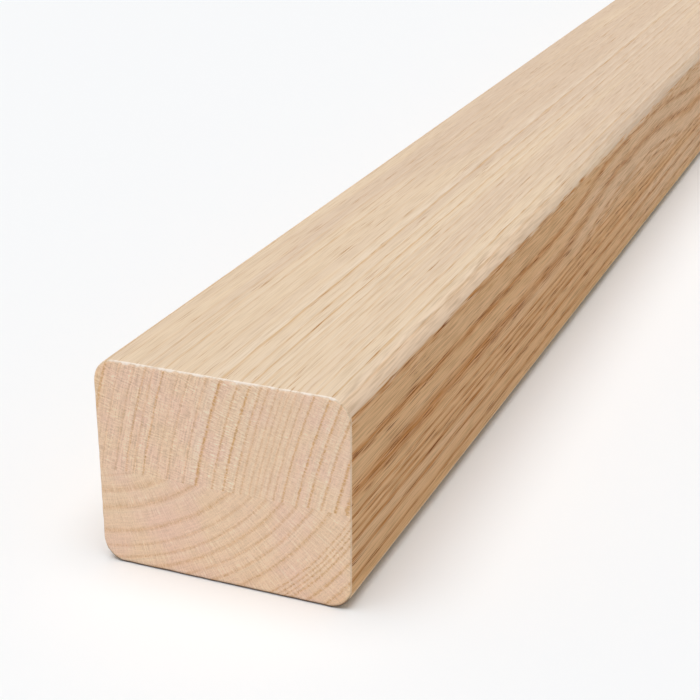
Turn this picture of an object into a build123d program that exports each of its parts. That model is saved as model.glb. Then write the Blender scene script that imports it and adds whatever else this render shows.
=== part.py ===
"""Stair handrail: one straight length of solid hardwood, glued up from two boards.

The rail is made the way a joiner makes it. An upper and a lower board are glued face to
face, the blank is moulded to a rectangle with four rounded arrises, cut square at both
ends, and the sharp edge round each end is eased. The glue line is flush and runs the
whole length, so the two boards share one outline and meet in one flat face.

Frame, in millimetres: the origin is at the middle of the underside. +Y runs along the
rail, +X across it and +Z up. The underside lies in the plane Z = 0.
"""
import os

from build123d import *

RAIL_LENGTH = 1000.0     # square cut to square cut
RAIL_WIDTH = 55.0        # across the rail, under the palm
UPPER_BOARD = 24.0       # finished thickness of the board above the glue line
LOWER_BOARD = 21.0       # finished thickness of the board below the glue line
ARRIS_RADIUS = 5.0       # rounding of the four long arrises
END_EASE = 0.5           # chamfer sanded round the outline of each end

RAIL_HEIGHT = LOWER_BOARD + UPPER_BOARD


def rail_profile():
    """The moulded cross-section, standing on its underside in the plane across the rail."""
    upright = Plane((0, 0, RAIL_HEIGHT / 2), x_dir=(1, 0, 0), z_dir=(0, 1, 0))
    return upright * RectangleRounded(RAIL_WIDTH, RAIL_HEIGHT, ARRIS_RADIUS)


def glued_rail():
    """The whole rail as one body: the profile run out to length, with both ends eased."""
    rail = extrude(rail_profile(), amount=RAIL_LENGTH / 2, both=True)
    ends = rail.faces().filter_by(Axis.Y)
    return chamfer(ends.edges(), END_EASE)


def boards(rail):
    """The rail parted along its glue line, as (lower board, upper board)."""
    glue_line = Plane.XY.offset(LOWER_BOARD)
    lower = split(rail, bisect_by=glue_line, keep=Keep.BOTTOM)
    upper = split(rail, bisect_by=glue_line, keep=Keep.TOP)
    return lower, upper


lower_board, upper_board = boards(glued_rail())

os.makedirs("parts", exist_ok=True)
export_step(lower_board, "parts/lower_board.step")
export_step(upper_board, "parts/upper_board.step")
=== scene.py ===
"""Looks of the stair handrail: two glued boards of oiled hardwood on a pale studio floor.

Both boards are cut from one moulded blank, as the rail is made. Each board's timber is a
solid pattern: growth rings run round a pith that lies beside the board, so the lines on
the end grain go on as the figure of the long faces. Shader lengths are in millimetres,
mesh lengths in metres.
"""
import logging
import math
from dataclasses import dataclass
from enum import Enum
from typing import Union

import bmesh
import bpy
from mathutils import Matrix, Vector, noise


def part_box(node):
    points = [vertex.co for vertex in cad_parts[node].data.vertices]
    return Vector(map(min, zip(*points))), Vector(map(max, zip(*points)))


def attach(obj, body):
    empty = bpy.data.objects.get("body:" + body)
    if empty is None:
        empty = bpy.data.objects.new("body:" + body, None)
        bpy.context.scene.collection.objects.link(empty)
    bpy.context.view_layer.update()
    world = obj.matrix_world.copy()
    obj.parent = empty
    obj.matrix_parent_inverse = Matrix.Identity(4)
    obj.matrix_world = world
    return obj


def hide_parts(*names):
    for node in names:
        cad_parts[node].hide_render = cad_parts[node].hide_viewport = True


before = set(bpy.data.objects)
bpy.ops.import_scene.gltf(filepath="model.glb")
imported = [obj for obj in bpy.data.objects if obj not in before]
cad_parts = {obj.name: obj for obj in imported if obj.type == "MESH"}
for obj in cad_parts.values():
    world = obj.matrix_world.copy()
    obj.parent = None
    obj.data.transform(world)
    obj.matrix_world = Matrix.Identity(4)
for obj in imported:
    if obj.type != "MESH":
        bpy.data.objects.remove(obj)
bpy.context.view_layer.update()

logging.basicConfig(level=logging.INFO, format="%(message)s")
log = logging.getLogger("handrail")

MM = 0.001
WHITE = (1.0, 1.0, 1.0, 1.0)

FULL_LEVEL = 255
CURVE_KNEE = 0.04045
CURVE_SLOPE = 12.92
CURVE_OFFSET = 0.055
CURVE_POWER = 2.4

NOISE_MIDDLE = 0.5
NOISE_SWING = 4.0
SHADE_RED = 0.85
SHADE_BLUE = 1.2

Value = Union["Wire", float]
Triple = tuple[float, float, float]
Colour = tuple[float, float, float]
Linear = tuple[float, float, float, float]
Paint = Union[bpy.types.NodeSocket, Linear]


def linear(colour: Colour) -> Linear:
    """Turns a colour as seen on a screen into the shader's linear one.

    Args:
        colour: red, green and blue from 0 to 255.

    Returns:
        Linear red, green and blue from 0 to 1, with full alpha.
    """
    def channel(level: float) -> float:
        """Turns one channel by the sRGB curve.

        Args:
            level: the channel from 0 to 255.

        Returns:
            The linear channel from 0 to 1.
        """
        share = level / FULL_LEVEL
        if share <= CURVE_KNEE:
            return share / CURVE_SLOPE
        return ((share + CURVE_OFFSET) / (1 + CURVE_OFFSET)) ** CURVE_POWER

    red, green, blue = (channel(level) for level in colour)
    return red, green, blue, 1.0


class Wire:
    """A number in a shader. Python's operators on it add Math nodes."""

    def __init__(self, graph: "Graph", socket: bpy.types.NodeSocket) -> None:
        """Wraps an output socket of the graph."""
        self.graph = graph
        self.socket = socket

    def __add__(self, other: Value) -> "Wire":
        """This plus the other."""
        return self.graph.math("ADD", self, other)

    def __sub__(self, other: Value) -> "Wire":
        """This less the other."""
        return self.graph.math("SUBTRACT", self, other)

    def __rsub__(self, other: Value) -> "Wire":
        """The other less this."""
        return self.graph.math("SUBTRACT", other, self)

    def __mul__(self, other: Value) -> "Wire":
        """This times the other."""
        return self.graph.math("MULTIPLY", self, other)

    def __truediv__(self, other: Value) -> "Wire":
        """This divided by the other."""
        return self.graph.math("DIVIDE", self, other)

    def __pow__(self, other: Value) -> "Wire":
        """This to the power of the other."""
        return self.graph.math("POWER", self, other)

    def __abs__(self) -> "Wire":
        """This without its sign."""
        return self.graph.math("ABSOLUTE", self)

    __radd__ = __add__
    __rmul__ = __mul__


@dataclass(frozen=True)
class Step:
    """A smooth step from nought to its top. Its start may lie above its end."""

    start: float
    end: float
    top: float = 1.0


@dataclass(frozen=True)
class Share:
    """A share that grows with a mask: its least, and how much more where the mask is full."""

    least: float
    more: float

    def at(self, mask: Wire) -> Wire:
        """The share under the mask."""
        return self.least + self.more * mask


@dataclass(frozen=True)
class Grain:
    """A noise laid straight: its lengths across, along and up, in millimetres."""

    lengths: Triple
    detail: float = 1.0
    rough: float = 0.5


@dataclass(frozen=True)
class Fleck:
    """A noise laid round the pith: its lengths along and across the rings, and its own number."""

    along: float
    across: float
    number: float


class Graph:
    """The node tree of one material or of the world."""

    def __init__(self, owner: Union[bpy.types.Material, bpy.types.World]) -> None:
        """Empties the owner's node tree.

        Args:
            owner: the material or the world that the graph belongs to.
        """
        owner.use_nodes = True
        self.tree = owner.node_tree
        self.tree.nodes.clear()

    def add(self, kind: str, settings: dict | None = None,
            inputs: dict | None = None) -> bpy.types.Node:
        """Adds a node.

        Args:
            kind: the node's type name.
            settings: the node's own settings, which are set first.
            inputs: numbers, colours, wires or sockets, by the input's name or number.

        Returns:
            The new node.
        """
        node = self.tree.nodes.new(kind)
        for name, value in (settings or {}).items():
            setattr(node, name, value)
        for key, value in (inputs or {}).items():
            if isinstance(value, Wire):
                value = value.socket
            if isinstance(value, bpy.types.NodeSocket):
                self.tree.links.new(value, node.inputs[key])
            else:
                node.inputs[key].default_value = value
        return node

    def math(self, operation: str, *values: Value) -> Wire:
        """The Math node that joins the values by the operation."""
        node = self.add("ShaderNodeMath", {"operation": operation}, dict(enumerate(values)))
        return Wire(self, node.outputs[0])

    def maximum(self, first: Value, second: Value) -> Wire:
        """The larger of two values."""
        return self.math("MAXIMUM", first, second)

    def minimum(self, first: Value, second: Value) -> Wire:
        """The smaller of two values."""
        return self.math("MINIMUM", first, second)

    def rise(self, value: Value, start: float, end: float, top: float = 1.0) -> Wire:
        """A smooth step.

        Args:
            value: what is stepped.
            start: where the step begins, which may lie above its end.
            end: where the step is complete.
            top: the height that it reaches from nought.

        Returns:
            The stepped value.
        """
        falls = start > end
        low, high = (end, start) if falls else (start, end)
        first, last = (top, 0.0) if falls else (0.0, top)
        node = self.add("ShaderNodeMapRange", {"interpolation_type": "SMOOTHSTEP"},
                        {0: value, 1: low, 2: high, 3: first, 4: last})
        return Wire(self, node.outputs[0])

    def step(self, value: Value, step: Step) -> Wire:
        """The value passed through the step."""
        return self.rise(value, step.start, step.end, step.top)

    def split(self, vector: bpy.types.NodeSocket) -> tuple[Wire, Wire, Wire]:
        """Takes a vector apart.

        Args:
            vector: the vector's socket.

        Returns:
            Its three parts.
        """
        node = self.add("ShaderNodeSeparateXYZ", None, {0: vector})
        first, second, third = (Wire(self, output) for output in node.outputs)
        return first, second, third

    def join(self, first: Value, second: Value, third: Value) -> bpy.types.NodeSocket:
        """A vector of three values."""
        return self.add("ShaderNodeCombineXYZ", None, {0: first, 1: second, 2: third}).outputs[0]

    def stretch(self, vector: bpy.types.NodeSocket, lengths: Triple) -> bpy.types.NodeSocket:
        """The vector measured in the given lengths along its three axes."""
        node = self.add("ShaderNodeVectorMath", {"operation": "DIVIDE"}, {0: vector, 1: lengths})
        return node.outputs[0]

    def cloud(self, vector: bpy.types.NodeSocket, detail: float, rough: float) -> bpy.types.Node:
        """A noise of unit scale: output 0 is a number about one half, output 1 three of them."""
        return self.add("ShaderNodeTexNoise", {"noise_dimensions": "3D"},
                        {"Vector": vector, "Scale": 1.0, "Detail": detail, "Roughness": rough})

    def speckle(self, vector: bpy.types.NodeSocket, detail: float = 1.0, rough: float = 0.5) -> Wire:
        """The noise as one number that swings evenly about nought, mostly within one."""
        return (Wire(self, self.cloud(vector, detail, rough).outputs[0]) - NOISE_MIDDLE) * NOISE_SWING

    def grain(self, point: bpy.types.NodeSocket, grain: Grain) -> Wire:
        """The straight noise at a point, about nought."""
        return self.speckle(self.stretch(point, grain.lengths), grain.detail, grain.rough)

    def fleck(self, radius: Wire, arc: Wire, fleck: Fleck) -> Wire:
        """The noise round the pith at a radius and an arc, about nought."""
        return self.speckle(self.join(arc / fleck.along, radius / fleck.across, fleck.number))

    def blend(self, share: Value, first: Paint, second: Paint) -> bpy.types.NodeSocket:
        """Mixes two colours.

        Args:
            share: how much of the second colour goes in, from 0 to 1.
            first: a linear colour or a socket.
            second: a linear colour or a socket.

        Returns:
            The mixed colour's socket.
        """
        node = self.add("ShaderNodeMix", {"data_type": "RGBA", "blend_type": "MIX"},
                        {0: share, 6: first, 7: second})
        return node.outputs[2]

    def shade(self, colour: bpy.types.NodeSocket, level: Wire) -> bpy.types.NodeSocket:
        """Makes a colour lighter, or darker and warmer.

        Args:
            colour: the colour's socket.
            level: the share that it is lightened by, below nought to darken it.

        Returns:
            The shaded colour's socket.
        """
        factors = self.join(1 + level * SHADE_RED, 1 + level, 1 + level * SHADE_BLUE)
        node = self.add("ShaderNodeVectorMath", {"operation": "MULTIPLY"}, {0: colour, 1: factors})
        return node.outputs[0]


class Layer(Enum):
    """The two boards of the rail, by the name of the node and of its timber."""

    UPPER = "upper_board"
    LOWER = "lower_board"

    @property
    def timber(self) -> str:
        """The record's material slot of the board."""
        return self.value + "_timber"


@dataclass(frozen=True)
class Year:
    """Where one year's growth ends, in millimetres from the pith.

    The wood darkens over the inner width up to the line, clears within the outer width,
    and is pale just outside the line, over the flank's width.
    """

    radius: float
    dark: float = 0.6
    pale: float = 0.0
    inner: float = 0.45
    outer: float = 0.35
    flank: float = 0.9
    flank_gap: float = 0.1
    flank_rise: float = 0.15


@dataclass(frozen=True)
class Swell:
    """A stretch of the board where the rings bulge, which draws a flame on its right face."""

    start: float
    crest: float
    ebb: float
    end: float
    depth: float


@dataclass(frozen=True)
class Band:
    """The wood between two radii, where the rays show by the given strength."""

    inner: float
    outer: float
    strength: float


@dataclass(frozen=True)
class Palette:
    """The colours of one kind of face, as seen on a screen.

    The contrast scales the texture, the glint is the most that the texture lightens, and
    the grit scales the pores.
    """

    base: Colour
    gold: Colour
    pink: Colour
    line: Colour
    pale: Colour
    pore: Colour
    contrast: float
    glint: float
    grit: float = 1.0


@dataclass(frozen=True)
class Figure:
    """How much of each of a palette's colours lies at a place, and its light and dark about nought."""

    gold: Value
    pink: Value
    line: Value
    pale: Value
    pore: Value
    texture: Wire


@dataclass(frozen=True)
class Wander:
    """How growth rings stray from true circles: slow drift, swells in the skin, waves and jags."""

    drift: Grain = Grain((60.0, 320.0, 60.0))
    drift_most: float = 2.5
    drifting: Step = Step(60.0, 420.0)
    skin_across: Step = Step(16.0, 27.0)
    skin_up: Step = Step(46.0, 39.0)
    wave: Grain = Grain((9.0, 45.0, 9.0))
    wave_most: float = 0.08
    jag: Grain = Grain((0.5, 11.0, 0.4), 2.0, 0.6)
    jag_sawn: float = 0.17


@dataclass(frozen=True)
class SawnGrain:
    """What a sawn end shows between and across its ring lines, and how much of each."""

    hatch: Fleck = Fleck(6.0, 4.0, 2.0)
    hatched: Step = Step(-0.1, 1.2, 0.5)
    band_margin: float = 1.5
    linen_margin: float = 3.0
    stroke: Step = Step(0.20, 0.9)
    stroke_share: Share = Share(0.14, 0.66)
    long_ray: Fleck = Fleck(0.28, 15.0, 3.0)
    long_ray_seen: Step = Step(0.85, 1.25, 0.7)
    row: Fleck = Fleck(5.0, 0.33, 5.0)
    dot: Fleck = Fleck(0.32, 0.30, 9.0)
    dot_seen: Step = Step(0.15, 0.7)
    bead: Fleck = Fleck(0.42, 1.2, 4.0)
    bead_seen: Step = Step(-0.9, 0.5)
    bead_share: Share = Share(0.18, 0.66)
    flank_ray: Step = Step(-0.5, 0.6)
    flank_share: Share = Share(0.15, 0.45)
    mottle: Grain = Grain((8.0, 60.0, 8.0), 2.0)
    pink: Step = Step(-0.6, 1.0)
    sap: float = 0.6
    pore_share: Share = Share(0.16, 0.05)
    pore_line: float = 0.45
    ray_relief: Share = Share(0.06, 0.07)
    ray_linen: float = 0.05
    row_relief: Share = Share(0.06, 0.06)
    dot_relief: float = 0.10


@dataclass(frozen=True)
class PlanedGrain:
    """What a planed face shows along its fibres, and how much of each."""

    fine: Grain = Grain((0.30, 12.0, 0.25), 1.0, 0.6)
    fine_relief: float = 0.12
    fibre: Grain = Grain((0.85, 30.0, 0.60), 2.0, 0.6)
    fibre_relief: float = 0.02
    fibre_gold: Step = Step(0.4, 1.2, 0.35)
    cloudy: Grain = Grain((5.0, 45.0, 9.0))
    cloudy_relief: float = 0.03
    broad: Grain = Grain((6.0, 150.0, 6.0), 2.0)
    broad_far: float = 1.2
    pink: Step = Step(-0.2, 1.3, 0.85)
    sap: float = 0.8
    sap_up: Step = Step(40.0, 36.0)
    broken: Grain = Grain((0.45, 14.0, 0.36))
    broken_seen: Step = Step(-0.8, 0.5)
    line_share: Share = Share(0.32, 0.54)
    line_far: float = 0.25
    flank_share: Share = Share(0.15, 0.5)
    thread: Grain = Grain((0.42, 20.0, 0.34))
    thread_seen: Step = Step(0.30, 1.1)
    thread_share: float = 0.3
    dash: Grain = Grain((0.26, 11.0, 0.23))
    dash_seen: Step = Step(0.35, 0.9)
    patch: Grain = Grain((4.0, 30.0, 3.0))
    patch_seen: Step = Step(0.0, 0.9)
    pore_share: Share = Share(0.19, 0.50)
    pore_line: float = 0.80
    pore_far: float = 0.35


@dataclass(frozen=True)
class Arrises:
    """How the top turns into the sides over the rail's upper arrises, whose round is made paler by painted
    light, and marked with fibres.

    A turn is how far a face looks sideways, from 0 for the top to 1 for a side.
    """

    fibre: Grain = Grain((0.55, 9.0, 0.36))
    patch: Grain = Grain((4.0, 16.0, 4.0))
    patch_seen: Step = Step(-0.5, 0.5)
    up: Step = Step(36.0, 41.0)
    fray: Share = Share(0.02, 0.05)
    shaded_side_turn: Step = Step(0.92, 0.99)
    near_least: float = 0.3
    near: Step = Step(220.0, 70.0, 0.7)
    painted_light_turn: Step = Step(0.2, 0.9, 0.4)
    painted_light_pale: Colour = (253, 216, 184)
    edge_turn: Step = Step(0.91, 0.98)
    edge_up: Step = Step(37.5, 39.5)
    edge_share: Share = Share(0.3, 0.7)
    edge_fibre: Step = Step(0.05, 0.7, 0.75)
    bend_in: Step = Step(0.15, 0.45)
    bend_out: Step = Step(0.98, 0.85)
    bend_relief: float = 0.20
    bend_glint: float = 0.06


@dataclass(frozen=True)
class Easing:
    """The sanded rim of an end: how far it reaches, pale along the top with pale sanded fibres and a painted
    highlight, and dark below with painted contact shade.
    """

    torn: Grain = Grain((1.1, 3.0, 0.8), 2.0)
    rim: Step = Step(0.04, 0.30)
    rim_torn: float = 0.08
    highlight_up: Step = Step(44.40, 44.90, 0.8)
    highlight_torn: float = 0.30
    pale_fibres_and_highlight: Colour = (254, 243, 232)
    shade_facing_down: Step = Step(0.0, -0.5, 0.85)
    painted_contact_shade: Colour = (72, 46, 36)


@dataclass(frozen=True)
class Oil:
    """The oiled surface: its roughness, less on the ring lines, its gloss and its relief."""

    rough: float = 0.60
    line_smooth: float = 0.08
    gloss: float = 0.01
    relief: float = 0.08 * MM
    relief_strength: float = 0.5


END_PALETTE = Palette(
    base=(252, 219, 187), gold=(252, 210, 160), pink=(251, 214, 190), line=(226, 173, 110),
    pale=(255, 237, 212), pore=(184, 128, 78), contrast=1.25, glint=0.3)
TOP_PALETTE = Palette(
    base=(229, 206, 178), gold=(235, 206, 162), pink=(218, 194, 171), line=(212, 175, 132),
    pale=(235, 217, 196), pore=(176, 128, 82), contrast=1.05, glint=0.03, grit=0.95)
# The sides' palette is a darker, browner copy of the top's timber: painted shade on the sides.
SHADED_SIDE_PALETTE = Palette(
    base=(226, 182, 136), gold=(224, 177, 124), pink=(231, 196, 160), line=(188, 120, 54),
    pale=(228, 188, 144), pore=(128, 66, 22), contrast=2.5, glint=0.07, grit=1.5)


@dataclass(frozen=True)
class Timber:
    """One board's timber: a solid pattern of growth rings, rays, fibres and pores.

    The pith lies outside the section, at a place across and up, and arcs are measured at
    the reach. Beyond the linen's radius an end is as finely woven as linen, and over the
    sapwood's radii the wood turns golden. Over the paling distances from the near end the
    planed faces turn paler. On them the lines fray into fibres, by up to about the given
    length, and on the sawn ends the lines show by the given share.
    """

    layer: Layer
    pith: tuple[float, float]
    reach: float
    years: tuple[Year, ...]
    swells: tuple[Swell, ...]
    hatched: tuple[Band, ...]
    ray: Fleck
    linen: float
    sapwood: Step
    paling: Step
    fray: float
    sawn: float
    half_length: float
    end_facing: Step = Step(0.80, 0.97)
    wander: Wander = Wander()
    sawn_grain: SawnGrain = SawnGrain()
    planed_grain: PlanedGrain = PlanedGrain()
    arrises: Arrises = Arrises()
    easing: Easing = Easing()
    oil: Oil = Oil()

    def material(self) -> bpy.types.Material:
        """Builds the board's material.

        Returns:
            The material, named as the record's slot is.
        """
        finish = bpy.data.materials.new(self.layer.timber)
        graph = Graph(finish)
        place = graph.add("ShaderNodeTexCoord")
        point = graph.stretch(place.outputs["Object"], (MM, MM, MM))
        across, along, up = graph.split(point)
        sideways, endways, upwards = graph.split(place.outputs["Normal"])
        from_near = along + self.half_length
        is_end = graph.step(abs(endways), self.end_facing)

        radius, arc = self._polar(graph, point, across, from_near, up, is_end)
        line, flank = self._lines(graph, radius)
        end = self._end_grain(graph, point, radius, arc, line, flank)
        planed = self._long_grain(graph, point, radius, from_near, up, line, flank)
        colour = self._long_faces(graph, point, from_near, up, abs(sideways), planed)
        colour = graph.blend(is_end, colour, self._paint(graph, END_PALETTE, end))
        colour = self._ease(graph, point, up, abs(endways), upwards, colour)

        relief = end.texture * is_end + planed.texture * (1 - is_end)
        bump = graph.add("ShaderNodeBump", None, {
            "Strength": self.oil.relief_strength, "Distance": self.oil.relief, "Height": relief})
        surface = graph.add("ShaderNodeBsdfPrincipled", None, {
            "Base Color": colour, "Roughness": self.oil.rough - self.oil.line_smooth * line,
            "Normal": bump.outputs[0], "Specular IOR Level": self.oil.gloss})
        graph.add("ShaderNodeOutputMaterial", None, {0: surface.outputs[0]})
        return finish

    def _polar(self, graph: Graph, point: bpy.types.NodeSocket, across: Wire, from_near: Wire,
               up: Wire, is_end: Wire) -> tuple[Wire, Wire]:
        """Places a point by the pith.

        Args:
            graph: the material's graph.
            point: the place in millimetres.
            across: its part across the rail.
            from_near: its distance from the near end.
            up: its height.
            is_end: whether it lies on an end.

        Returns:
            The radius from the pith, and the length of arc round it.
        """
        wander = self.wander
        drifting = graph.step(from_near, wander.drifting)
        drift = graph.cloud(graph.stretch(point, wander.drift.lengths), wander.drift.detail,
                            wander.drift.rough)
        drift_across, drift_up, _ = graph.split(drift.outputs[1])
        out = across - self.pith[0] + (drift_across - NOISE_MIDDLE) * drifting * wander.drift_most
        above = up - self.pith[1] + (drift_up - NOISE_MIDDLE) * drifting * wander.drift_most
        radius = (out * out + above * above) ** 0.5
        skin = graph.step(across, wander.skin_across) * graph.step(up, wander.skin_up)
        for swell in self.swells:
            bulge = graph.rise(from_near, swell.start, swell.crest, swell.depth)
            radius = radius - bulge * graph.rise(from_near, swell.end, swell.ebb) * skin
        wave = graph.grain(point, wander.wave)
        jag = graph.grain(point, wander.jag)
        arc = graph.math("ARCTAN2", above, out) * self.reach
        fray = Share(self.fray, wander.jag_sawn - self.fray)
        return radius + wave * wander.wave_most + jag * fray.at(is_end), arc

    def _lines(self, graph: Graph, radius: Wire) -> tuple[Wire, Wire]:
        """Draws the ring lines.

        Args:
            graph: the material's graph.
            radius: the distance from the pith.

        Returns:
            The strength of the lines, and of the pale flanks outside them.
        """
        lines: Value = 0.0
        flanks: Value = 0.0
        for year in self.years:
            grow = graph.rise(radius, year.radius - year.inner, year.radius, year.dark)
            fade = graph.rise(radius, year.radius + year.outer, year.radius)
            lines = graph.maximum(lines, grow * fade)
            if year.pale:
                crest = year.radius + year.outer + year.flank_rise
                clear = graph.rise(radius, year.radius + year.flank_gap, crest, year.pale)
                flanks = graph.maximum(flanks, clear * graph.rise(radius, crest + year.flank, crest))
        return lines, flanks

    def _end_grain(self, graph: Graph, point: bpy.types.NodeSocket, radius: Wire, arc: Wire,
                   line: Wire, flank: Wire) -> Figure:
        """The figure of the sawn end: beaded ring lines, rays across them and fine rows between them.

        Args:
            graph: the material's graph.
            point: the place in millimetres.
            radius: the distance from the pith.
            arc: the length round the pith.
            line: the strength of the ring lines.
            flank: the strength of their pale flanks.

        Returns:
            The shares of the end palette's colours.
        """
        cut = self.sawn_grain
        hatch = graph.step(graph.fleck(radius, arc, cut.hatch), cut.hatched)
        for band in self.hatched:
            begun = graph.rise(radius, band.inner, band.inner + cut.band_margin, band.strength)
            hatch = graph.maximum(hatch, begun * graph.rise(radius, band.outer, band.outer - cut.band_margin))
        linen = graph.rise(radius, self.linen, self.linen + cut.linen_margin)
        rays = graph.fleck(radius, arc, self.ray)
        rows = graph.fleck(radius, arc, cut.row)
        dots = graph.fleck(radius, arc, cut.dot)
        beads = graph.step(graph.fleck(radius, arc, cut.bead), cut.bead_seen)
        long_rays = graph.step(graph.fleck(radius, arc, cut.long_ray), cut.long_ray_seen)
        strokes = graph.step(rays, cut.stroke) * cut.stroke_share.at(hatch)
        rayed_flank = flank * cut.flank_share.at(graph.step(rays, cut.flank_ray))
        pores = cut.pore_share.at(linen) + cut.pore_line * line
        ray_relief = cut.ray_relief.at(hatch) + cut.ray_linen * linen
        return Figure(
            gold=graph.step(radius, self.sapwood) * cut.sap,
            pink=graph.step(graph.grain(point, cut.mottle), cut.pink),
            line=line * cut.bead_share.at(beads) * self.sawn,
            pale=graph.maximum(graph.maximum(rayed_flank, strokes), long_rays),
            pore=graph.step(dots, cut.dot_seen) * pores,
            texture=rays * ray_relief + rows * cut.row_relief.at(linen) + dots * cut.dot_relief)

    def _long_grain(self, graph: Graph, point: bpy.types.NodeSocket, radius: Wire, from_near: Wire,
                    up: Wire, line: Wire, flank: Wire) -> Figure:
        """The figure of the planed faces: ring lines broken into fibres, pores and golden streaks.

        Args:
            graph: the material's graph.
            point: the place in millimetres.
            radius: the distance from the pith.
            from_near: the distance from the near end.
            up: the height.
            line: the strength of the ring lines.
            flank: the strength of their pale flanks.

        Returns:
            The shares of the colours of the top's and the sides' palettes.
        """
        cut = self.planed_grain
        fine = graph.grain(point, cut.fine)
        fibre = graph.grain(point, cut.fibre)
        cloudy = graph.grain(point, cut.cloudy)
        patches = graph.step(graph.grain(point, cut.patch), cut.patch_seen)
        broken = graph.step(graph.grain(point, cut.broken), cut.broken_seen)
        dashes = graph.step(graph.grain(point, cut.dash), cut.dash_seen)
        threads = graph.step(graph.grain(point, cut.thread), cut.thread_seen)
        far = graph.step(from_near, self.paling)
        sap = graph.rise(radius, self.sapwood.start, self.sapwood.end, cut.sap)
        pores = cut.pore_share.at(patches) + cut.pore_line * line
        return Figure(
            gold=graph.maximum(graph.step(fibre, cut.fibre_gold), sap * graph.step(up, cut.sap_up)),
            pink=graph.step(graph.grain(point, cut.broad) + far * cut.broad_far, cut.pink),
            line=line * cut.line_share.at(broken) * (1 - cut.line_far * far),
            pale=graph.maximum(flank * cut.flank_share.at(broken), threads * cut.thread_share),
            pore=dashes * pores * (1 - cut.pore_far * far),
            texture=fine * cut.fine_relief + fibre * cut.fibre_relief + cloudy * cut.cloudy_relief)

    def _long_faces(self, graph: Graph, point: bpy.types.NodeSocket, from_near: Wire, up: Wire,
                    turn: Wire, figure: Figure) -> bpy.types.NodeSocket:
        """Colours the planed faces, with painted shade on the sides, and painted light over the arrises where
        the top meets the sides.

        Args:
            graph: the material's graph.
            point: the place in millimetres.
            from_near: the distance from the near end.
            up: the height.
            turn: how far the face looks sideways.
            figure: the figure of the planed faces.

        Returns:
            The colour's socket.
        """
        wear = self.arrises
        frayed = graph.grain(point, wear.fibre)
        patches = graph.step(graph.grain(point, wear.patch), wear.patch_seen)
        is_upper = graph.step(up, wear.up)
        is_shaded_side = graph.step(turn + frayed * wear.fray.at(patches) * is_upper, wear.shaded_side_turn)
        near = wear.near_least + graph.step(from_near, wear.near)
        # Paler over the round of the upper arrises, fading away from the near end: painted light against the
        # round's shade.
        top = graph.blend(graph.step(turn, wear.painted_light_turn) * near,
                          self._paint(graph, TOP_PALETTE, figure), linear(wear.painted_light_pale))
        # The sides take their darker palette: painted shade.
        colour = graph.blend(is_shaded_side, top, self._paint(graph, SHADED_SIDE_PALETTE, figure))
        edge = graph.step(turn, wear.edge_turn) * graph.step(up, wear.edge_up) * wear.edge_share.at(patches)
        colour = graph.blend(edge * graph.step(frayed, wear.edge_fibre), colour, linear(SHADED_SIDE_PALETTE.line))
        bend = graph.step(turn, wear.bend_in) * graph.step(turn, wear.bend_out) * is_upper
        return graph.shade(colour, bend * near * graph.minimum(frayed * wear.bend_relief, wear.bend_glint))

    def _ease(self, graph: Graph, point: bpy.types.NodeSocket, up: Wire, endways: Wire,
              upwards: Wire, colour: bpy.types.NodeSocket) -> bpy.types.NodeSocket:
        """Colours the sanded rim of the ends: pale fibres and a painted highlight along the top, and painted
        contact shade where the rim faces down.

        Args:
            graph: the material's graph.
            point: the place in millimetres.
            up: the height.
            endways: how far the face looks along the rail.
            upwards: how far the face looks up.
            colour: the colour without the rim.

        Returns:
            The colour with the rim.
        """
        rim = self.easing
        torn = graph.grain(point, rim.torn)
        eased = graph.step(endways + torn * rim.rim_torn, rim.rim)
        top_rim_highlight = graph.step(up + torn * rim.highlight_torn, rim.highlight_up)
        # Pale along the top of the rim: pale sanded fibres and a painted highlight.
        colour = graph.blend(eased * top_rim_highlight, colour, linear(rim.pale_fibres_and_highlight))
        # Dark where the rim faces down: painted contact shade.
        return graph.blend(eased * graph.step(upwards, rim.shade_facing_down), colour, linear(rim.painted_contact_shade))

    def _paint(self, graph: Graph, palette: Palette, figure: Figure) -> bpy.types.NodeSocket:
        """Lays a palette's colours by a figure.

        Args:
            graph: the material's graph.
            palette: the colours.
            figure: the share of each of them.

        Returns:
            The colour's socket.
        """
        colour = graph.blend(figure.pink, linear(palette.base), linear(palette.pink))
        colour = graph.blend(figure.gold, colour, linear(palette.gold))
        colour = graph.blend(figure.pale, colour, linear(palette.pale))
        colour = graph.blend(figure.line, colour, linear(palette.line))
        colour = graph.blend(figure.pore * palette.grit, colour, linear(palette.pore))
        return graph.shade(colour, graph.minimum(figure.texture * palette.contrast, palette.glint))


UPPER_YEARS = (
    Year(142.6, 0.9, 0.0, 0.3, 0.3), Year(143.3, 0.9, 0.0, 0.35, 0.3),
    Year(145.3, 1.0, 0.0, 0.9, 0.8), Year(147.5, 1.0, 0.4, 0.6, 0.5),
    Year(150.3, 0.7, 0.9, 0.5), Year(153.0, 0.8, 0.9, 0.6), Year(155.4, 0.9, 0.7, 0.5),
    Year(158.4, 0.75, 0.5), Year(160.2, 0.45, 0.4, 0.35, 0.3), Year(161.7, 0.45, 0.4, 0.35, 0.3),
    Year(163.0, 0.35, 0.3, 0.3, 0.3), Year(164.1, 0.4, 0.3, 0.3, 0.3), Year(165.3, 0.45, 0.5, 0.35, 0.3),
    Year(167.1, 0.5, 0.3), Year(168.6, 0.6, 0.8, flank=1.2),
    Year(170.8, 1.0, 0.6, 0.5, flank=1.6), Year(173.2, 0.7, 0.6, flank=1.4),
    Year(176.7, 1.0, 1.0, 0.8, 0.4, 2.6), Year(179.5, 0.4, 0.4, 0.6), Year(183.0, 0.4), Year(185.2, 0.3),
    Year(188.2, 0.7, 0.5), Year(190.3, 0.4), Year(192.0, 0.6, 0.4), Year(194.4, 0.35), Year(197.4, 0.3),
    Year(200.5, 0.8, 0.4, 0.6),
)
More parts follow.
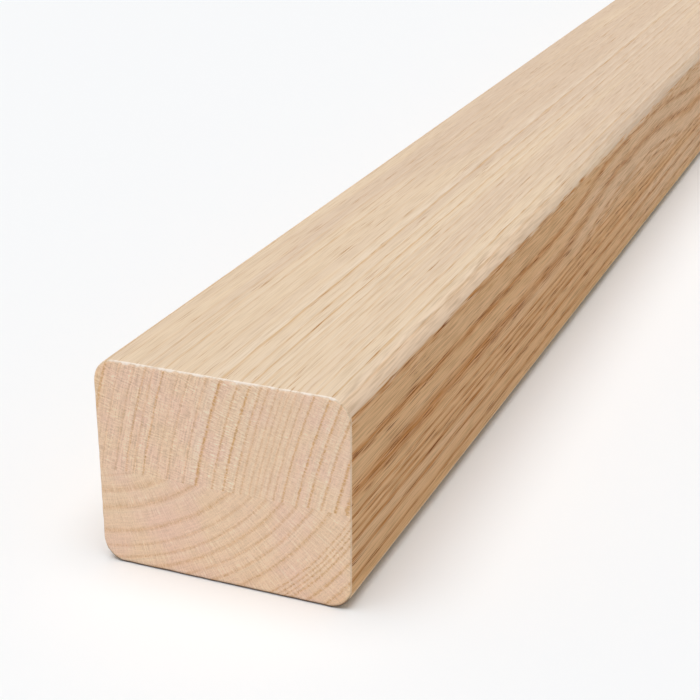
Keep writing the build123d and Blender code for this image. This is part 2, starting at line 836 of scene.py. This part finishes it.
LOWER_YEARS = (
    Year(37.0, 0.4, 0.4), Year(40.5, 0.55, 0.3, 1.8, 0.6), Year(44.1, 0.6, 0.3, 1.2, 1.0),
    Year(49.4, 0.7, 0.0, 1.0, 0.8), Year(52.7, 0.6, 0.2, 0.6, 0.5), Year(55.3, 0.65, 0.4, 0.6, 0.5),
    Year(57.9, 0.7, 0.0, 0.8, 0.7), Year(60.5, 0.65, 0.2, 0.6, 0.5), Year(63.2, 0.7, 0.4, 0.6, 0.5),
    Year(66.2, 0.8, 0.0, 0.7, 0.8), Year(70.25, 0.9, 0.3, 0.4, 0.35), Year(71.25, 0.9, 0.3, 0.4, 0.35),
    Year(72.15, 0.9, 0.2, 0.45, 0.35), Year(73.2, 1.0, 0.1, 0.6, 0.45), Year(75.35, 1.0, 0.1, 0.7, 0.55),
    Year(78.1, 0.9, 0.0, 0.6, 0.45),
)
UPPER_SWELLS = (
    Swell(start=140, crest=210, ebb=245, end=330, depth=2.2),
    Swell(start=520, crest=610, ebb=640, end=760, depth=1.8),
)


@dataclass
class Handrail:
    """The whole rail: the moulded blank, parted into its two boards."""

    low: Vector
    high: Vector
    glue_height: float
    arris: float = 5.0 * MM
    arris_steps: int = 12
    ease: float = 0.5 * MM
    ease_steps: int = 3
    ease_reach: float = 0.55 * MM
    uneven: float = 0.14 * MM
    torn_length: float = 1.3 * MM
    strip: float = 1.0 * MM
    flat_corners: int = 4
    span_cuts: int = 24
    support: float = 3.0 * MM
    weld: float = 0.001 * MM
    hair: float = 0.01 * MM
    square: float = 0.99
    sharp_angle: float = math.radians(50)

    @property
    def half_length(self) -> float:
        """Half of the rail's length."""
        return (self.high.y - self.low.y) / 2

    def blank(self) -> bmesh.types.BMesh:
        """Moulds the glued blank: a bar with round arrises and eased ends.

        Returns:
            The closed mesh, standing where the rail stands.
        """
        mesh = bmesh.new()
        bmesh.ops.create_cube(mesh, size=1.0)
        bmesh.ops.scale(mesh, vec=self.high - self.low, verts=mesh.verts)
        bmesh.ops.translate(mesh, vec=(self.high + self.low) / 2, verts=mesh.verts)
        bmesh.ops.bevel(mesh, geom=self._long_edges(mesh), offset=self.arris, offset_type="OFFSET",
                        segments=self.arris_steps, profile=0.5, affect="EDGES", material=-1)
        self._cut_strips(mesh)
        bmesh.ops.subdivide_edges(mesh, edges=self._long_edges(mesh), cuts=self.span_cuts)
        for end in (-1, 1):
            self._slice(mesh, Vector((0, end * (self.half_length - self.support), 0)), Vector((0, 1, 0)))
        self._ease_ends(mesh)
        return mesh

    def _long_edges(self, mesh: bmesh.types.BMesh) -> list[bmesh.types.BMEdge]:
        """The edges that run along the rail."""
        return [edge for edge in mesh.edges
                if abs(edge.verts[0].co.y - edge.verts[1].co.y) > self.arris]

    def _outline(self, mesh: bmesh.types.BMesh) -> list[bmesh.types.BMEdge]:
        """The edges round both ends."""
        return [edge for edge in mesh.edges
                if all(abs(abs(vert.co.y) - self.half_length) < self.hair for vert in edge.verts)]

    def _cut_strips(self, mesh: bmesh.types.BMesh) -> None:
        """Cuts each flat into strips as wide as the worn spots of its ends are fine.

        Args:
            mesh: the bar, which is cut.
        """
        for face in [face for face in mesh.faces if len(face.verts) == self.flat_corners]:
            short = [edge for edge in face.edges if edge.calc_length() < self.half_length]
            cuts = round(short[0].calc_length() / self.strip) - 1
            if cuts > 0:
                bmesh.ops.subdivide_edges(mesh, edges=short, cuts=cuts)

    def _slice(self, mesh: bmesh.types.BMesh, place: Vector, normal: Vector) -> None:
        """Cuts the whole mesh along a plane."""
        geometry = mesh.verts[:] + mesh.edges[:] + mesh.faces[:]
        bmesh.ops.bisect_plane(mesh, geom=geometry, dist=self.weld, plane_co=place, plane_no=normal)

    def _ease_ends(self, mesh: bmesh.types.BMesh) -> None:
        """Rounds the outline of both ends, a little unevenly, as sandpaper leaves it.

        Args:
            mesh: the bar, whose ends are eased.
        """
        bmesh.ops.bevel(mesh, geom=self._outline(mesh), offset=self.ease, offset_type="OFFSET",
                        segments=self.ease_steps, profile=0.5, affect="EDGES", material=-1)
        ends = [face for face in mesh.faces if len(face.verts) > self.flat_corners]
        bmesh.ops.inset_region(mesh, faces=ends, thickness=self.ease)
        mesh.normal_update()
        eased = [vert for vert in mesh.verts if abs(vert.co.y) > self.half_length - self.ease_reach
                 and not self._inside(vert)]
        moves = [vert.normal * self.uneven * (1 + noise.noise(vert.co / self.torn_length)) / 2
                 for vert in eased]
        for vert, move in zip(eased, moves):
            vert.co -= move

    def _inside(self, vert: bmesh.types.BMVert) -> bool:
        """Whether the point lies within an end face, clear of its outline."""
        return all(abs(face.normal.y) > self.square for face in vert.link_faces)

    def board(self, blank: bmesh.types.BMesh, layer: Layer, timber: Timber) -> bpy.types.Object:
        """Parts one board from the blank and dresses it.

        Args:
            blank: the whole rail's mesh, which is kept.
            layer: which board it is.
            timber: what it is cut from.

        Returns:
            The board, riding on the rail's body.
        """
        mesh = blank.copy()
        geometry = mesh.verts[:] + mesh.edges[:] + mesh.faces[:]
        bmesh.ops.bisect_plane(mesh, geom=geometry, dist=self.weld, plane_co=(0, 0, self.glue_height),
                               plane_no=(0, 0, 1), clear_outer=layer is Layer.LOWER,
                               clear_inner=layer is Layer.UPPER)
        bmesh.ops.holes_fill(mesh, edges=[edge for edge in mesh.edges if edge.is_boundary], sides=0)
        bmesh.ops.recalc_face_normals(mesh, faces=mesh.faces)
        data = bpy.data.meshes.new("dressed_" + layer.value)
        mesh.to_mesh(data)
        mesh.free()
        data.shade_smooth()
        data.set_sharp_from_angle(angle=self.sharp_angle)
        data.materials.append(timber.material())
        piece = bpy.data.objects.new("dressed_" + layer.value, data)
        bpy.context.scene.collection.objects.link(piece)
        piece.modifiers.new("even_shading", "WEIGHTED_NORMAL").keep_sharp = True
        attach(piece, "root")
        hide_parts(layer.value)
        return piece


@dataclass(frozen=True)
class Studio:
    """A white floor under soft light from overhead, and the camera."""

    floor_size: float = 12.0
    floor_cells: int = 2
    floor_lift: float = 0.02 * MM
    floor_white: Linear = (0.925, 0.936, 0.948, 1.0)
    backdrop_white: float = 0.955
    sky: float = 0.25
    sky_tint: Linear = (0.93, 1.0, 1.07, 1.0)
    under: float = 0.8
    horizon: Step = Step(0.0, -0.05)
    key: float = 2.43
    key_tint: Triple = (1.023, 1.0, 0.977)
    key_spread: float = math.radians(54)
    key_from: Vector = Vector((-0.035, -0.155, 1.0))
    camera_at: Vector = Vector((0.12917, -0.74699, 0.16663))
    camera_turn: float = math.radians(-22.4456)
    camera_dip: float = math.radians(22.6532)
    camera_near: float = 10.0 * MM
    lens: float = 82.356
    sensor: float = 36.0

    def floor(self) -> bpy.types.Object:
        """Lays the floor, which can't be seen from below and leaves the underside's light alone.

        Returns:
            The floor.
        """
        mesh = bmesh.new()
        bmesh.ops.create_grid(mesh, x_segments=self.floor_cells, y_segments=self.floor_cells,
                              size=self.floor_size / 2)
        bmesh.ops.translate(mesh, vec=(0, 0, self.floor_lift), verts=mesh.verts)
        data = bpy.data.meshes.new("floor")
        mesh.to_mesh(data)
        mesh.free()
        paint = bpy.data.materials.new("floor_paint")
        graph = Graph(paint)
        matt = graph.add("ShaderNodeBsdfDiffuse", None, {0: self.floor_white})
        clear = graph.add("ShaderNodeBsdfTransparent")
        below = graph.add("ShaderNodeNewGeometry").outputs["Backfacing"]
        mixed = graph.add("ShaderNodeMixShader", None, {0: below, 1: matt.outputs[0], 2: clear.outputs[0]})
        graph.add("ShaderNodeOutputMaterial", None, {0: mixed.outputs[0]})
        data.materials.append(paint)
        floor = bpy.data.objects.new("floor", data)
        bpy.context.scene.collection.objects.link(floor)
        return floor

    def light(self) -> None:
        """Lights the room: a dim even sky that looks white, and one broad lamp overhead.

        From under the floor, which keeps it off the room, the sky is brighter.
        """
        world = bpy.context.scene.world or bpy.data.worlds.new("studio")
        bpy.context.scene.world = world
        graph = Graph(world)
        path = graph.add("ShaderNodeLightPath")
        seen = Wire(graph, path.outputs["Is Camera Ray"])
        for ray in ("Is Glossy Ray", "Is Transmission Ray"):
            seen = graph.maximum(seen, Wire(graph, path.outputs[ray]))
        _, _, rising = graph.split(graph.add("ShaderNodeTexCoord").outputs["Generated"])
        below = graph.step(rising, self.horizon)
        unseen = below * (self.under - self.sky) + self.sky
        strength = seen * (self.backdrop_white - unseen) + unseen
        tint = graph.blend(graph.maximum(seen, below), self.sky_tint, WHITE)
        sky = graph.add("ShaderNodeBackground", None, {0: tint, 1: strength})
        graph.add("ShaderNodeOutputWorld", None, {0: sky.outputs[0]})
        lamp = bpy.data.lights.new("overhead", "SUN")
        lamp.energy = self.key
        lamp.color = self.key_tint
        lamp.angle = self.key_spread
        hung = bpy.data.objects.new("overhead", lamp)
        hung.rotation_euler = (-self.key_from).to_track_quat("-Z", "Y").to_euler()
        bpy.context.scene.collection.objects.link(hung)

    def camera(self) -> bpy.types.Object:
        """Sets up the camera that looks along the rail from its near end.

        Returns:
            The camera, made the scene's own.
        """
        lens = bpy.data.cameras.new("camera")
        lens.lens = self.lens
        lens.sensor_width = self.sensor
        lens.clip_start = self.camera_near
        level = math.cos(self.camera_dip)
        ahead = Vector((math.sin(self.camera_turn) * level, math.cos(self.camera_turn) * level,
                        -math.sin(self.camera_dip)))
        camera = bpy.data.objects.new("camera", lens)
        camera.location = self.camera_at
        camera.rotation_euler = ahead.to_track_quat("-Z", "Y").to_euler()
        bpy.context.scene.collection.objects.link(camera)
        bpy.context.scene.camera = camera
        return camera


def main() -> None:
    """Builds the studio and the rail, and reports each piece."""
    bpy.context.scene.view_settings.view_transform = "Standard"
    studio = Studio()
    log.info("studio: %s", studio.camera().name)
    studio.light()
    log.info("studio: %s and one lamp", studio.floor().name)

    lower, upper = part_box(Layer.LOWER.value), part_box(Layer.UPPER.value)
    rail = Handrail(low=Vector(lower[0]), high=Vector(upper[1]), glue_height=upper[0][2])
    half = rail.half_length / MM
    timbers = {
        Layer.UPPER: Timber(Layer.UPPER, pith=(167.7, -12.7), reach=175.0, years=UPPER_YEARS,
                            swells=UPPER_SWELLS,
                            hatched=(Band(167.0, 178.5, 0.75), Band(148.0, 158.0, 0.35)),
                            ray=Fleck(0.28, 1.7, 0.0), linen=177.0, sapwood=Step(197.5, 203.0),
                            paling=Step(40.0, 280.0), fray=0.26, sawn=1.0, half_length=half),
        Layer.LOWER: Timber(Layer.LOWER, pith=(-33.4, 55.6), reach=58.0, years=LOWER_YEARS,
                            swells=(),
                            hatched=(Band(30.0, 46.0, 0.35), Band(57.0, 84.0, 0.22)),
                            ray=Fleck(0.28, 3.2, 0.0), linen=120.0, sapwood=Step(76.5, 81.0),
                            paling=Step(130.0, 420.0), fray=0.12, sawn=0.7, half_length=half),
    }
    blank = rail.blank()
    for layer, timber in timbers.items():
        piece = rail.board(blank, layer, timber)
        log.info("%s: %d faces", piece.name, len(piece.data.polygons))
    blank.free()


if __name__ == "__main__":
    main()
